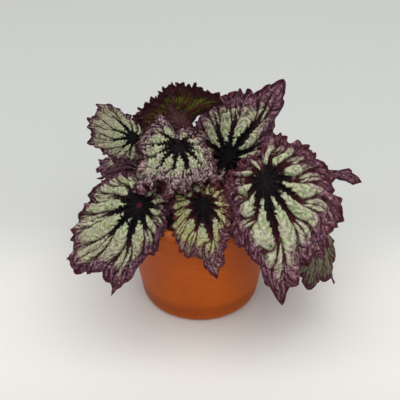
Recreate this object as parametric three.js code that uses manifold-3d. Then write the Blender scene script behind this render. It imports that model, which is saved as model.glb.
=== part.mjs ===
// Potted rex begonia: ruffled, silver-panelled leaves on short stalks that rise from a creeping
// rootstock, in a terracotta-coloured plastic pot. Millimetres, +Z up, origin at the centre of the
// pot's flat underside. -Y is the front, where the biggest leaves hang over the rim.
import * as THREE from "three";
import { mergeVertices } from "three/addons/utils/BufferGeometryUtils.js";
import Module from "manifold-3d";

const wasm = await Module();
wasm.setup();

// Space kept between two pieces that touch on the real plant.
const GAP = 0.3;

// The pot: a 150 mm moulded flower pot with a rolled lip and drain holes.
const POT_HEIGHT = 110;
const POT_BASE_RADIUS = 55;
const POT_RIM_RADIUS = 71;
const POT_EDGE_ROUND = 6;
const POT_WALL = 2.2;
const LIP_HEIGHT = 8;
const LIP_OVERHANG = 2.6;
const LIP_ROUND = 1.2;
const FLOOR_CORNER = 3;
const FLOOR_CORNER_TOP = 8;
const POT_SIDES = 56;
const DRAIN_HOLES = 6;
const DRAIN_RADIUS = 4.5;
const DRAIN_CIRCLE = 36;

// The potting mix fills the pot to a finger's width below the rim. Its gap is wider by what the
// flat facets of the pot's wall come in.
const MIX_GAP = GAP + 0.1;
const MIX_TOP = 96;
const MIX_BUMPS = 1.6;
const MIX_SIDES = 36;

// The rootstock creeps over the mix in an S, half sunk in it.
const ROOTSTOCK_RADIUS = 8;
const ROOTSTOCK_KNOBS = 1;
const ROOTSTOCK_ENDS = 0.45;
const ROOTSTOCK_SIDES = 10;
const ROOTSTOCK_STEPS = 26;
const ROOTSTOCK_LINE = [
  [-34, 22],
  [-22, 8],
  [-12, -16],
  [4, -20],
  [16, -2],
  [26, 18],
  [40, 20],
];

// The leaf stalks, which taper over the lower STALK_TAPER of their length. A leaf shorter than
// SMALL_LEAF has a stalk slimmer by SMALL_STALK.
const STALK_FOOT_RADIUS = 4;
const STALK_TOP_RADIUS = 2.6;
const STALK_TAPER = 0.7;
const SMALL_LEAF = 40;
const SMALL_STALK = 0.6;
const STALK_SIDES = 7;
const STALK_STEPS = 9;

// How a stalk leaves the rootstock and meets its blade, as shares of its straight length: how far
// it first climbs, and how far below the blade it turns up to it. A leaf's own climb and reach take
// their place, and its lift raises that turn by so many millimetres.
const STALK_CLIMB = 0.45;
const STALK_REACH = 0.35;
const STALK_LEAN = 0.1;

// The blade, drawn flat. Ten veins run from the stalk to the edge; each has its angle from the
// tip in degrees, positive on the wide half, and its reach as a share of the leaf's length. The
// first and last rows are the two sides of the notch where the stalk joins.
const VEINS = [
  { angle: -180, reach: 0.16 },
  { angle: -145, reach: 0.3 },
  { angle: -100, reach: 0.36 },
  { angle: -62, reach: 0.46 },
  { angle: -30, reach: 0.68 },
  { angle: 0, reach: 0.92 },
  { angle: 28, reach: 0.82 },
  { angle: 56, reach: 0.76 },
  { angle: 88, reach: 0.58 },
  { angle: 122, reach: 0.51 },
  { angle: 155, reach: 0.48 },
  { angle: 180, reach: 0.16 },
];
const TIP_POINT = 0.11;
const TIP_WIDTH = 7;
const BAY_DEPTH = 0.07;
const TOOTH_DEPTH = 0.02;
const BLADE_THICKNESS = 0.9;
const HOOK_STARTS = 0.7;

// How high the blade puffs up between two veins, in full on a leaf of PLEATED_LENGTH or more.
const VEIN_RELIEF = 2.2;
const PLEATED_LENGTH = 80;

// The waves of the edge, as shares of a leaf's ruffle: one broad wave a bay, lower in every other
// bay, and finer ones upon it.
const BROAD_WAVE = 1.3;
const OTHER_BAYS = 0.4;
const FINE_WAVE = 1.4;

// The base and the two sides bend over SIDE_SPAN of the leaf's length, and the tip over all of it.
const SIDE_SPAN = 0.7;

// A leaf's broad and slim scale its halves between these angles from the tip: fully between the
// middle two, and not at all beyond the outer two. Its lobes scales what lies beyond LOBE_ANGLES,
// and its shoulder the wide half round SHOULDER_ANGLE.
const HALF_ANGLES = [0, 28, 60, 140];
const LOBE_ANGLES = [85, 135];
const SHOULDER_ANGLE = 34;
const SHOULDER_WIDTH = 15;

// Rings of the blade from the stalk out, as a share of the way to the edge, with the number of
// points that each has between two veins.
const RINGS = [
  { share: 0.3, points: 1 },
  { share: 0.62, points: 2 },
  { share: 0.86, points: 6 },
  { share: 1, points: 6 },
];

// One row a leaf. at is where the stalk meets the blade. heading is the way the tip points, in
// degrees from +X towards +Y, pitch is how far the tip points up, and roll turns the blade about
// the line to its tip. wideHalf is the side that the wide half lies on, 1 or -1; broad and slim
// scale the two halves. Where a leaf differs from most, lobes scales the two lobes beside the
// notch, and shoulder the wide half's edge next to the tip. tip, base, wide and narrow are how
// many degrees each quarter of the blade has bent down at its far edge, and hook is what the last
// third of the tip adds. ruffle is the height of the waves along the edge. foot is how far along
// the rootstock the stalk stands, from 0 to 1, and how far to its side. A stalk that has to clear
// another piece also has its own climb, reach or lift, which are told with STALK_CLIMB above.
const LEAVES = [
  {
    name: "front_left", at: [-49, -54, 131], heading: -113, pitch: -42, roll: -12,
    length: 75, wideHalf: 1, broad: 1.04, slim: 0.84,
    tip: 18, base: 70, wide: 15, narrow: 22, hook: 0, ruffle: 3,
    foot: [0.3, -5], lift: -8, shoulder: 1.24,
  },
  {
    name: "front_middle", at: [3.5, -60, 136], heading: -77, pitch: -46, roll: 18,
    length: 59, wideHalf: 1, broad: 0.8, slim: 0.85,
    tip: 10, base: 60, wide: 24, narrow: 30, hook: 0, ruffle: 3,
    foot: [0.5, -5], shoulder: 1.2,
  },
  {
    name: "front_right", at: [53, -46, 149.5], heading: -79, pitch: -46, roll: 12,
    length: 99, wideHalf: -1, broad: 0.94, slim: 0.86,
    tip: 12, base: 25, wide: 15, narrow: 6, hook: 20, ruffle: 3,
    foot: [0.62, -5], lobes: 0.9,
  },
  {
    name: "crown", at: [-17, -22, 166], heading: -76, pitch: -8, roll: 3,
    length: 46, wideHalf: 1, broad: 1.5, slim: 1.4, lobes: 1.7,
    tip: 20, base: -45, wide: 30, narrow: 30, hook: 40, ruffle: 3,
    foot: [0.38, 4.5], shoulder: 0.8,
  },
  {
    name: "upper_left", at: [-57, 1, 162], heading: 152, pitch: 44, roll: -14,
    length: 43, wideHalf: -1, broad: 1.2, slim: 0.8,
    tip: 20, base: 20, wide: 15, narrow: 20, hook: 0, ruffle: 2,
    foot: [0.18, -5], reach: 0.45,
  },
  {
    name: "upper_back", at: [-22, 34, 161], heading: 8, pitch: 40, roll: -85,
    length: 68, wideHalf: 1, broad: 0.86, slim: 0.4, lobes: 1.25,
    tip: 60, base: 10, wide: 20, narrow: 10, hook: 50, ruffle: 2,
    foot: [0.2, 5],
  },
  {
    name: "upper_right", at: [25, 14, 134], heading: 30, pitch: 48, roll: 38,
    length: 84, wideHalf: -1, broad: 0.9, slim: 0.8,
    tip: 5, base: 10, wide: 15, narrow: 15, hook: 0, ruffle: 3,
    foot: [0.68, 5], reach: 0.44,
  },
  {
    name: "right_side", at: [92, 25, 113.5], heading: -6, pitch: -3, roll: -12,
    length: 54, wideHalf: 1, broad: 0.65, slim: 0.65,
    tip: 0, base: 5, wide: 40, narrow: 40, hook: 15, ruffle: 3,
    foot: [0.97, -2], reach: 0.4, lift: 18,
  },
  {
    name: "right_low", at: [87, -28, 116], heading: -28, pitch: -58, roll: 0,
    length: 82, wideHalf: 1, broad: 1.1, slim: 0.9,
    tip: 10, base: 60, wide: 20, narrow: 20, hook: 0, ruffle: 3,
    foot: [0.88, -6], reach: 0.24, lift: 12, climb: 0.3,
  },
  {
    name: "left_side", at: [-52, 12, 123], heading: 178, pitch: -4, roll: -20,
    length: 40, wideHalf: 1, broad: 1, slim: 1,
    tip: 20, base: 30, wide: 20, narrow: 20, hook: 0, ruffle: 3,
    foot: [0.07, -4],
  },
  {
    name: "back_left", at: [-51, 62, 114], heading: 130, pitch: -14, roll: 0,
    length: 70, wideHalf: -1, broad: 1, slim: 1,
    tip: 35, base: 0, wide: 25, narrow: 25, hook: 0, ruffle: 3,
    foot: [0.02, 4], reach: 0.2, lift: 5,
  },
  {
    name: "back_middle", at: [-7, 64, 127], heading: 85, pitch: -16, roll: 0,
    length: 70, wideHalf: -1, broad: 1, slim: 1,
    tip: 35, base: 40, wide: 25, narrow: 25, hook: 0, ruffle: 3,
    foot: [0.77, 6],
  },
  {
    name: "back_right", at: [54, 52, 120], heading: 42, pitch: -16, roll: 0,
    length: 72, wideHalf: -1, broad: 1, slim: 0.9,
    tip: 35, base: 20, wide: 25, narrow: 25, hook: 0, ruffle: 3,
    foot: [0.86, 6],
  },
  {
    name: "young", at: [-13, 8, 168], heading: 150, pitch: 50, roll: 150,
    length: 24, wideHalf: 1, broad: 1, slim: 1,
    tip: 0, base: 0, wide: -40, narrow: -40, hook: 0, ruffle: 1,
    foot: [0.52, 6],
  },
];

// A closed geometry as a solid: its vertices are merged and its empty triangles dropped.
function solidOf(geometry) {
  const bare = geometry.clone();
  bare.deleteAttribute("normal");
  bare.deleteAttribute("uv");
  const merged = mergeVertices(bare, 1e-4);
  const corners = merged.index.array;
  const kept = [];
  for (let i = 0; i < corners.length; i += 3) {
    const [a, b, c] = corners.slice(i, i + 3);
    if (a !== b && b !== c && c !== a) kept.push(a, b, c);
  }
  return new wasm.Manifold(
    new wasm.Mesh({
      numProp: 3,
      vertProperties: new Float32Array(merged.attributes.position.array),
      triVerts: new Uint32Array(kept),
    }),
  );
}

// A solid back as a geometry.
function geometryOf(solid) {
  const mesh = solid.getMesh();
  const geometry = new THREE.BufferGeometry();
  geometry.setAttribute("position", new THREE.BufferAttribute(mesh.vertProperties, 3));
  geometry.setIndex(new THREE.BufferAttribute(mesh.triVerts, 1));
  geometry.computeVertexNormals();
  return geometry;
}

// Points and triangles as a geometry.
function geometryFrom(points, triangles) {
  const geometry = new THREE.BufferGeometry().setFromPoints(points);
  geometry.setIndex(triangles);
  geometry.computeVertexNormals();
  return geometry;
}

// A profile of radius and height turned about +Z.
function turned(profile, sides) {
  const outline = profile.map(([radius, height]) => new THREE.Vector2(radius, height));
  return new THREE.LatheGeometry(outline, sides).rotateX(Math.PI / 2);
}

// A closed tube along a curve, with a radius that changes along it.
function tube(curve, radiusAt, sides, steps) {
  const frames = curve.computeFrenetFrames(steps, false);
  const points = [];
  const triangles = [];
  for (let i = 0; i <= steps; i++) {
    const centre = curve.getPointAt(i / steps);
    for (let j = 0; j < sides; j++) {
      const turn = (j / sides) * 2 * Math.PI;
      const radius = radiusAt(i / steps, turn);
      points.push(
        centre
          .clone()
          .addScaledVector(frames.normals[i], Math.cos(turn) * radius)
          .addScaledVector(frames.binormals[i], Math.sin(turn) * radius),
      );
    }
  }
  for (let i = 0; i < steps; i++) {
    for (let j = 0; j < sides; j++) {
      const a = i * sides + j;
      const b = i * sides + ((j + 1) % sides);
      triangles.push(a, b, b + sides, a, b + sides, a + sides);
    }
  }
  const last = points.length;
  points.push(curve.getPointAt(0), curve.getPointAt(1));
  for (let j = 0; j < sides; j++) {
    const next = (j + 1) % sides;
    triangles.push(last, next, j);
    triangles.push(last + 1, steps * sides + j, steps * sides + next);
  }
  return geometryFrom(points, triangles);
}

// The outer radius of the pot's wall at a height.
function wallAt(height) {
  const flare = (POT_RIM_RADIUS - POT_BASE_RADIUS) / (POT_HEIGHT - POT_EDGE_ROUND);
  return POT_BASE_RADIUS + (height - POT_EDGE_ROUND) * flare;
}

// The pot's wall profile, from the middle of its underside round the lip to the middle of its
// floor.
function potProfile() {
  const lipFoot = POT_HEIGHT - LIP_HEIGHT;
  const profile = [[0, 0]];
  for (const share of [0, 0.33, 0.67, 1]) {
    const turn = (share * Math.PI) / 2;
    profile.push([
      POT_BASE_RADIUS - POT_EDGE_ROUND * (1 - Math.sin(turn)),
      POT_EDGE_ROUND * (1 - Math.cos(turn)),
    ]);
  }
  profile.push(
    [wallAt(lipFoot), lipFoot],
    [wallAt(lipFoot) + LIP_OVERHANG, lipFoot + LIP_ROUND],
    [wallAt(POT_HEIGHT) + LIP_OVERHANG, POT_HEIGHT - LIP_ROUND],
    [wallAt(POT_HEIGHT) + LIP_OVERHANG - LIP_ROUND, POT_HEIGHT],
    [wallAt(POT_HEIGHT) - POT_WALL + LIP_ROUND, POT_HEIGHT],
    [wallAt(POT_HEIGHT - LIP_ROUND) - POT_WALL, POT_HEIGHT - LIP_ROUND],
    [wallAt(FLOOR_CORNER_TOP) - POT_WALL, FLOOR_CORNER_TOP],
    [wallAt(POT_EDGE_ROUND) - POT_WALL - FLOOR_CORNER, POT_WALL],
    [0, POT_WALL],
  );
  return profile;
}

function potSolid() {
  let pot = solidOf(turned(potProfile(), POT_SIDES));
  for (let i = 0; i < DRAIN_HOLES; i++) {
    const turn = ((i + 0.5) / DRAIN_HOLES) * 2 * Math.PI;
    const drill = new THREE.CylinderGeometry(DRAIN_RADIUS, DRAIN_RADIUS, 4 * POT_WALL, 12)
      .rotateX(Math.PI / 2)
      .translate(DRAIN_CIRCLE * Math.cos(turn), DRAIN_CIRCLE * Math.sin(turn), 0);
    pot = pot.subtract(solidOf(drill));
  }
  return pot;
}

// The mix: straight sides that follow the pot, and a lumpy top.
function mixSolid() {
  const points = [new THREE.Vector3(0, 0, POT_WALL + GAP), new THREE.Vector3(0, 0, MIX_TOP)];
  const mixRadius = (height) => wallAt(height) - POT_WALL - MIX_GAP;
  const edge = mixRadius(MIX_TOP - MIX_BUMPS);
  const low = FLOOR_CORNER_TOP + MIX_GAP;
  const lump = (turn, share) => Math.sin(5 * turn + 9 * share) * Math.cos(3 * turn - 4 * share);
  const top = (share) => (turn) => MIX_TOP + (MIX_BUMPS / 2) * (lump(turn, share) - 1);
  const rows = [
    { radius: mixRadius(POT_EDGE_ROUND) - FLOOR_CORNER - MIX_GAP, height: () => POT_WALL + GAP },
    { radius: mixRadius(low), height: () => low },
    { radius: edge, height: top(1) },
    { radius: edge * 0.7, height: top(0.7) },
    { radius: edge * 0.35, height: top(0.35) },
  ];
  for (const { radius, height } of rows) {
    for (let j = 0; j < MIX_SIDES; j++) {
      const turn = (j / MIX_SIDES) * 2 * Math.PI;
      points.push(new THREE.Vector3(radius * Math.cos(turn), radius * Math.sin(turn), height(turn)));
    }
  }
  const triangles = [];
  const first = (row) => 2 + row * MIX_SIDES;
  for (let j = 0; j < MIX_SIDES; j++) {
    const next = (j + 1) % MIX_SIDES;
    triangles.push(0, first(0) + next, first(0) + j);
    triangles.push(1, first(rows.length - 1) + j, first(rows.length - 1) + next);
    for (let row = 0; row + 1 < rows.length; row++) {
      const [a, b] = [first(row) + j, first(row) + next];
      triangles.push(a, b, b + MIX_SIDES, a, b + MIX_SIDES, a + MIX_SIDES);
    }
  }
  return solidOf(geometryFrom(points, triangles));
}

// The rootstock's middle line, which lies at the top of the mix.
const rootstockCurve = new THREE.CatmullRomCurve3(
  ROOTSTOCK_LINE.map(([x, y]) => new THREE.Vector3(x, y, MIX_TOP + 1)),
);

// The knobby rootstock, thinner at its two growing ends. extra thickens it for cutting its bed.
function rootstockGeometry(extra) {
  const radiusAt = (share, turn) => {
    const ends = Math.sqrt(Math.max(0, 1 - Math.abs(2 * share - 1) ** 6));
    const knobs = ROOTSTOCK_KNOBS * Math.sin(share * 60) * Math.cos(turn * 2 + share * 9);
    return (ROOTSTOCK_RADIUS + knobs) * THREE.MathUtils.lerp(ROOTSTOCK_ENDS, 1, ends) + extra;
  };
  return tube(rootstockCurve, radiusAt, ROOTSTOCK_SIDES, ROOTSTOCK_STEPS);
}

// Where a stalk stands on the rootstock.
function footPoint([share, aside]) {
  const point = rootstockCurve.getPointAt(share);
  const along = rootstockCurve.getTangentAt(share);
  return point.add(new THREE.Vector3(-along.y, along.x, 0).multiplyScalar(aside));
}

// A number along the leaf's edge, 0 at one side of the notch and 11 at the other, whole at a vein.
function veinAngle(place) {
  const i = Math.min(Math.floor(place), VEINS.length - 2);
  return THREE.MathUtils.lerp(VEINS[i].angle, VEINS[i + 1].angle, place - i);
}

// How far the edge is from the stalk there, as a share of the leaf's length.
function edgeReach(place) {
  const i = Math.min(Math.floor(place), VEINS.length - 2);
  const along = place - i;
  const last = VEINS.length - 2;
  const [from, to] = [VEINS[i].reach, VEINS[i + 1].reach];
  let reach;
  if (i === 0) reach = to + (from - to) * (1 - along) ** 4;
  else if (i === last) reach = from + (to - from) * along ** 4;
  else reach = THREE.MathUtils.lerp(from, to, along * along * (3 - 2 * along));
  const bay = 1 - BAY_DEPTH * Math.sin(Math.PI * along) ** 2;
  const point = 1 + TIP_POINT * Math.exp(-Math.abs(veinAngle(place)) / TIP_WIDTH);
  return reach * bay * point;
}

// A stretch that bends steadily, and faster past its last third where it hooks: how far a point
// goes along, and how far it drops.
function bent(distance, span, droop, hook) {
  const steps = 24;
  const target = Math.abs(distance) / span;
  let along = 0;
  let drop = 0;
  for (let i = 0; i < steps; i++) {
    const share = ((i + 0.5) / steps) * target;
    const hooked = Math.max(0, (share - HOOK_STARTS) / (1 - HOOK_STARTS));
    const turn = THREE.MathUtils.degToRad(droop * share + hook * hooked);
    along += (Math.cos(turn) * target) / steps;
    drop += (Math.sin(turn) * target) / steps;
  }
  return { along: Math.sign(distance) * along * span, drop: drop * span };
}

// A point of the blade in the leaf's own frame: X across, Y to the tip, Z out of the upper face.
function bladePoint(leaf, share, place) {
  const reach = edgeReach(place);
  const degrees = veinAngle(place);
  const off = Math.abs(degrees);
  const [starts, full, fades, ends] = HALF_ANGLES;
  const rising = THREE.MathUtils.smoothstep(off, starts, full);
  const falling = 1 - THREE.MathUtils.smoothstep(off, fades, ends);
  const half = 1 + ((degrees > 0 ? leaf.broad : leaf.slim) - 1) * rising * falling;
  const lobe = 1 + ((leaf.lobes ?? 1) - 1) * THREE.MathUtils.smoothstep(off, ...LOBE_ANGLES);
  const beside = ((degrees - SHOULDER_ANGLE) / SHOULDER_WIDTH) ** 2;
  const shoulder = 1 + ((leaf.shoulder ?? 1) - 1) * Math.exp(-beside);
  const tooth = 1 + TOOTH_DEPTH * Math.cos(6 * Math.PI * place) * share ** 8;
  const radius = share * reach * half * lobe * shoulder * leaf.length * tooth;
  const angle = THREE.MathUtils.degToRad(degrees);
  const x = radius * Math.sin(angle);
  const y = radius * Math.cos(angle);
  const size = radius / leaf.length;
  const calm = Math.min(1, place, VEINS.length - 1 - place);
  const panel = calm * Math.abs(Math.sin(Math.PI * place));
  const depth = VEIN_RELIEF * Math.min(1, leaf.length / PLEATED_LENGTH);
  const pleat = depth * panel * 4 * share * (1 - share);
  const broadWave = BROAD_WAVE * Math.sin(Math.PI * place) * (place % 2 < 1 ? 1 : OTHER_BAYS);
  const fineWave = FINE_WAVE * Math.sin(3 * Math.PI * place + leaf.heading);
  const wave = calm * leaf.ruffle * size * (share ** 2 * broadWave + share ** 4 * fineWave);
  const side = leaf.length * SIDE_SPAN;
  const tip = bent(Math.max(y, 0), leaf.length, leaf.tip, leaf.hook);
  const base = bent(Math.min(y, 0), side, leaf.base, 0);
  const wide = bent(Math.max(x, 0), side, leaf.wide, 0);
  const narrow = bent(Math.min(x, 0), side, leaf.narrow, 0);
  return new THREE.Vector3(
    leaf.wideHalf * (wide.along + narrow.along),
    tip.along + base.along,
    pleat + wave - tip.drop - base.drop - wide.drop - narrow.drop,
  );
}

// The triangles of the blade's surface: a fan round the stalk, then ring to ring, each outer ring
// with a whole number of points for each one of the ring inside it.
function bladeSurface(leaf) {
  const spaces = VEINS.length - 1;
  const points = [new THREE.Vector3()];
  const triangles = [];
  const rings = RINGS.map((ring) => {
    const start = points.length;
    const count = spaces * ring.points;
    for (let j = 0; j < count; j++) points.push(bladePoint(leaf, ring.share, j / ring.points));
    return { start, count };
  });
  for (let j = 0; j < rings[0].count; j++) {
    triangles.push([0, rings[0].start + j, rings[0].start + ((j + 1) % rings[0].count)]);
  }
  for (let r = 0; r + 1 < rings.length; r++) {
    const [inner, outer] = [rings[r], rings[r + 1]];
    const ratio = outer.count / inner.count;
    for (let j = 0; j < inner.count; j++) {
      const here = inner.start + j;
      const next = inner.start + ((j + 1) % inner.count);
      const half = Math.ceil(ratio / 2);
      for (let k = 0; k < ratio; k++) {
        const a = outer.start + ((j * ratio + k) % outer.count);
        const b = outer.start + ((j * ratio + k + 1) % outer.count);
        if (k === half) triangles.push([here, a, next]);
        triangles.push([k < half ? here : next, a, b]);
      }
      if (half === ratio) {
        triangles.push([here, outer.start + (((j + 1) * ratio) % outer.count), next]);
      }
    }
  }
  return { points, triangles, edge: rings[rings.length - 1] };
}

// The blade as a thin closed solid: its surface moved out both ways and joined round the edge.
function bladeGeometry(leaf, thickness) {
  const { points, triangles, edge } = bladeSurface(leaf);
  const flip = leaf.wideHalf > 0 ? 1 : -1;
  const normals = points.map(() => new THREE.Vector3());
  const across = new THREE.Vector3();
  for (const [a, b, c] of triangles) {
    across
      .subVectors(points[b], points[a])
      .cross(new THREE.Vector3().subVectors(points[c], points[a]))
      .multiplyScalar(-flip);
    for (const corner of [a, b, c]) normals[corner].add(across);
  }
  normals.forEach((normal) => normal.normalize());
  const count = points.length;
  const both = [
    ...points.map((point, i) => point.clone().addScaledVector(normals[i], thickness / 2)),
    ...points.map((point, i) => point.clone().addScaledVector(normals[i], -thickness / 2)),
  ];
  const faces = [];
  const add = (a, b, c) => faces.push(...(flip > 0 ? [a, c, b] : [a, b, c]));
  for (const [a, b, c] of triangles) {
    add(a, b, c);
    add(a + count, c + count, b + count);
  }
  for (let j = 0; j < edge.count; j++) {
    const a = edge.start + j;
    const b = edge.start + ((j + 1) % edge.count);
    add(a, a + count, b + count);
    add(a, b + count, b);
  }
  return geometryFrom(both, faces);
}

// The leaf's frame: where its blade meets its stalk, and how the blade lies.
function leafFrame(leaf) {
  const heading = THREE.MathUtils.degToRad(leaf.heading);
  const pitch = THREE.MathUtils.degToRad(leaf.pitch);
  const toTip = new THREE.Vector3(
    Math.cos(heading) * Math.cos(pitch),
    Math.sin(heading) * Math.cos(pitch),
    Math.sin(pitch),
  );
  const up = new THREE.Vector3(
    -Math.cos(heading) * Math.sin(pitch),
    -Math.sin(heading) * Math.sin(pitch),
    Math.cos(pitch),
  ).applyAxisAngle(toTip, THREE.MathUtils.degToRad(leaf.roll));
  const right = new THREE.Vector3().crossVectors(toTip, up);
  const frame = new THREE.Matrix4().makeBasis(right, toTip, up);
  frame.setPosition(...leaf.at);
  return frame;
}

// The stalk's line in the leaf's frame: up out of the rootstock, then over to meet the blade from
// below.
function stalkCurve(leaf, frame) {
  const foot = footPoint(leaf.foot);
  const top = new THREE.Vector3(...leaf.at);
  const rise = foot.distanceTo(top);
  const lean = new THREE.Vector3().subVectors(top, foot).setZ(0);
  const lower = foot.clone().addScaledVector(lean, STALK_LEAN);
  lower.z += rise * (leaf.climb ?? STALK_CLIMB);
  const upper = new THREE.Vector3(0, -rise * STALK_LEAN, -rise * (leaf.reach ?? STALK_REACH));
  upper.applyMatrix4(frame);
  upper.z += leaf.lift ?? 0;
  const toFrame = frame.clone().invert();
  const end = new THREE.Vector3(0, 0, 0);
  const [first, second, third] = [foot, lower, upper].map((point) => point.applyMatrix4(toFrame));
  return new THREE.CubicBezierCurve3(first, second, third, end);
}

function stalkGeometry(leaf, frame, extra) {
  const slim = leaf.length < SMALL_LEAF ? SMALL_STALK : 1;
  const radiusAt = (share) => {
    const tapered = Math.min(1, share / STALK_TAPER);
    return slim * THREE.MathUtils.lerp(STALK_FOOT_RADIUS, STALK_TOP_RADIUS, tapered) + extra;
  };
  return tube(stalkCurve(leaf, frame), radiusAt, STALK_SIDES, STALK_STEPS);
}

// The biggest of the pieces that a cut has left.
function biggest(solid) {
  return solid.decompose().reduce((a, b) => (a.volume() > b.volume() ? a : b));
}

const materials = {
  pot: new THREE.MeshStandardMaterial({ color: 0xb5622a, roughness: 0.45, metalness: 0 }),
  mix: new THREE.MeshStandardMaterial({ color: 0x3a2a20, roughness: 1, metalness: 0 }),
  rootstock: new THREE.MeshStandardMaterial({ color: 0x6b4a35, roughness: 0.9, metalness: 0 }),
  stalk: new THREE.MeshStandardMaterial({ color: 0x7a3a38, roughness: 0.7, metalness: 0 }),
  blade: new THREE.MeshStandardMaterial({ color: 0x97a68a, roughness: 0.5, metalness: 0 }),
};

const plant = new THREE.Group();

function addMesh(parent, name, geometry, material) {
  const mesh = new THREE.Mesh(geometry, material);
  mesh.name = name;
  parent.add(mesh);
}

let rootstock = solidOf(rootstockGeometry(0));
let mix = mixSolid().subtract(solidOf(rootstockGeometry(2 * GAP)));
for (const leaf of LEAVES) {
  const frame = leafFrame(leaf);
  const blade = bladeGeometry(leaf, BLADE_THICKNESS);
  const socket = solidOf(bladeGeometry(leaf, BLADE_THICKNESS + 5 * GAP));
  const stalk = biggest(solidOf(stalkGeometry(leaf, frame, 0)).subtract(socket));
  const hole = solidOf(stalkGeometry(leaf, frame, GAP).applyMatrix4(frame));
  rootstock = rootstock.subtract(hole);
  mix = mix.subtract(hole);
  const group = new THREE.Group();
  group.applyMatrix4(frame);
  addMesh(group, `blade_${leaf.name}`, blade, materials.blade);
  addMesh(group, `stalk_${leaf.name}`, geometryOf(stalk), materials.stalk);
  plant.add(group);
}
addMesh(plant, "rootstock", geometryOf(biggest(rootstock)), materials.rootstock);
addMesh(plant, "potting_mix", geometryOf(biggest(mix)), materials.mix);
addMesh(plant, "pot", geometryOf(potSolid()), materials.pot);

export default plant;
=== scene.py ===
"""A rex begonia in a terracotta-coloured plastic pot, on a pale floor.

The pot comes first, then the potting mix and what lies in it, the rootstock, and the leaves with
their stalks. Sizes are in metres, except where a name or comment says millimetres: a leaf is
shaped in millimetres in its own frame, with X across it, Y towards its tip and Z out of its upper
face, and then set at its place on the plant.
"""

import math
from types import SimpleNamespace

import bmesh
import bpy
import numpy as np
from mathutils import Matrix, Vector


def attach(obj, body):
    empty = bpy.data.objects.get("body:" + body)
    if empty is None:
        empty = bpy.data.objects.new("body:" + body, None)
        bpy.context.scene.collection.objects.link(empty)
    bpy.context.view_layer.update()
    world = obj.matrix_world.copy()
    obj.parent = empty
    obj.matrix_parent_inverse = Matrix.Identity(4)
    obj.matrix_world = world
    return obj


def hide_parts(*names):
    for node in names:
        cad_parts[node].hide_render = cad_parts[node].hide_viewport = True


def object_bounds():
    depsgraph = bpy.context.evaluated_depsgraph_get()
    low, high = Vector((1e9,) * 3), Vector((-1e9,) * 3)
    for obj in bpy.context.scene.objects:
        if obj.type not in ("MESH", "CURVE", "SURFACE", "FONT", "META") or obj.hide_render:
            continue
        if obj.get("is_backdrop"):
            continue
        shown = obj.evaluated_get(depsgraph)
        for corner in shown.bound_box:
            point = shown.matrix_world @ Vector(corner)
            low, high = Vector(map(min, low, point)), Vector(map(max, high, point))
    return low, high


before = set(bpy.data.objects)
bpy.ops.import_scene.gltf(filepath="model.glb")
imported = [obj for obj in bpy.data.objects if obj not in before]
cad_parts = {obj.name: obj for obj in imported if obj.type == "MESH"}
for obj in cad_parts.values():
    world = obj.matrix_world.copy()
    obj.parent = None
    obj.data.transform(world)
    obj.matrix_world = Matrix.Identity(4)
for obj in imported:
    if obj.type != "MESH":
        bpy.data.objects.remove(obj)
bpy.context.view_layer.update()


# The camera stands in front of the plant and looks down on it, as a person at a table would.
# Its distance and lens were found from how far the pot narrows and from the ellipse of its foot.
CAMERA_TARGET = Vector((0, 0, 0.099))
CAMERA_DISTANCE = 0.66
CAMERA_HEIGHT_ANGLE = math.radians(34)
CAMERA_LENS = 65.3

away = Vector((0, -math.cos(CAMERA_HEIGHT_ANGLE), math.sin(CAMERA_HEIGHT_ANGLE)))
bpy.ops.object.camera_add(
    location=CAMERA_TARGET + away * CAMERA_DISTANCE,
    rotation=away.to_track_quat("Z", "Y").to_euler(),
)
camera = bpy.context.object
camera.data.sensor_width = 36
camera.data.lens = CAMERA_LENS
camera.data.clip_end = 20
bpy.context.scene.camera = camera
bpy.context.scene.view_settings.view_transform = "Standard"


# The pot is injection-moulded polypropylene: a thin tapered wall, a rounded foot, a small lip
# turned out at the rim, and drain holes in the floor. Its finish is satin, a little uneven from
# the mould, and its colour is paler at the lip.
POT_HEIGHT = 0.110
POT_BASE_RADIUS = 0.055
POT_RIM_RADIUS = 0.071
POT_SIDES = 128
POT_FOOT_ROUND = 0.006
POT_FLOOR_ROUND = 0.003
POT_LIP_ROUND = 0.0008
POT_WALL = 0.0022
LIP_HEIGHT = 0.008
LIP_OVERHANG = 0.0026
DRAIN_HOLES = 6
DRAIN_RADIUS = 0.0045
DRAIN_CIRCLE = 0.036
DARK_BAND_HEIGHT = 0.014


def deselect_all():
    bpy.ops.object.select_all(action="DESELECT")


def choose(piece):
    """Makes a piece the only one selected, and the active one."""
    deselect_all()
    piece.select_set(True)
    bpy.context.view_layer.objects.active = piece


def apply(modifier):
    """Applies a modifier, and leaves its piece chosen."""
    choose(modifier.id_data)
    bpy.ops.object.modifier_apply(modifier=modifier.name)


def joined(pieces):
    """Joins several pieces into the first of them."""
    choose(pieces[0])
    for piece in pieces:
        piece.select_set(True)
    bpy.ops.object.join()
    return bpy.context.object


def pick(piece, faces=None, edges=None):
    """Selects, in edit mode, the faces that a test on middle and normal accepts, or the edges
    that a test on their two ends accepts."""
    bpy.ops.mesh.select_all(action="DESELECT")
    mesh = bmesh.from_edit_mesh(piece.data)
    if faces:
        for face in mesh.faces:
            if faces(face.calc_center_median(), face.normal):
                face.select_set(True)
    if edges:
        for edge in mesh.edges:
            if edges(*(vertex.co for vertex in edge.verts)):
                edge.select_set(True)
    mesh.select_flush_mode()
    bmesh.update_edit_mesh(piece.data)


def from_axis(point):
    return math.hypot(point.x, point.y)


def at_height(height):
    return lambda start, end: abs(start.z - height) < 1e-5 and abs(end.z - height) < 1e-5


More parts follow.
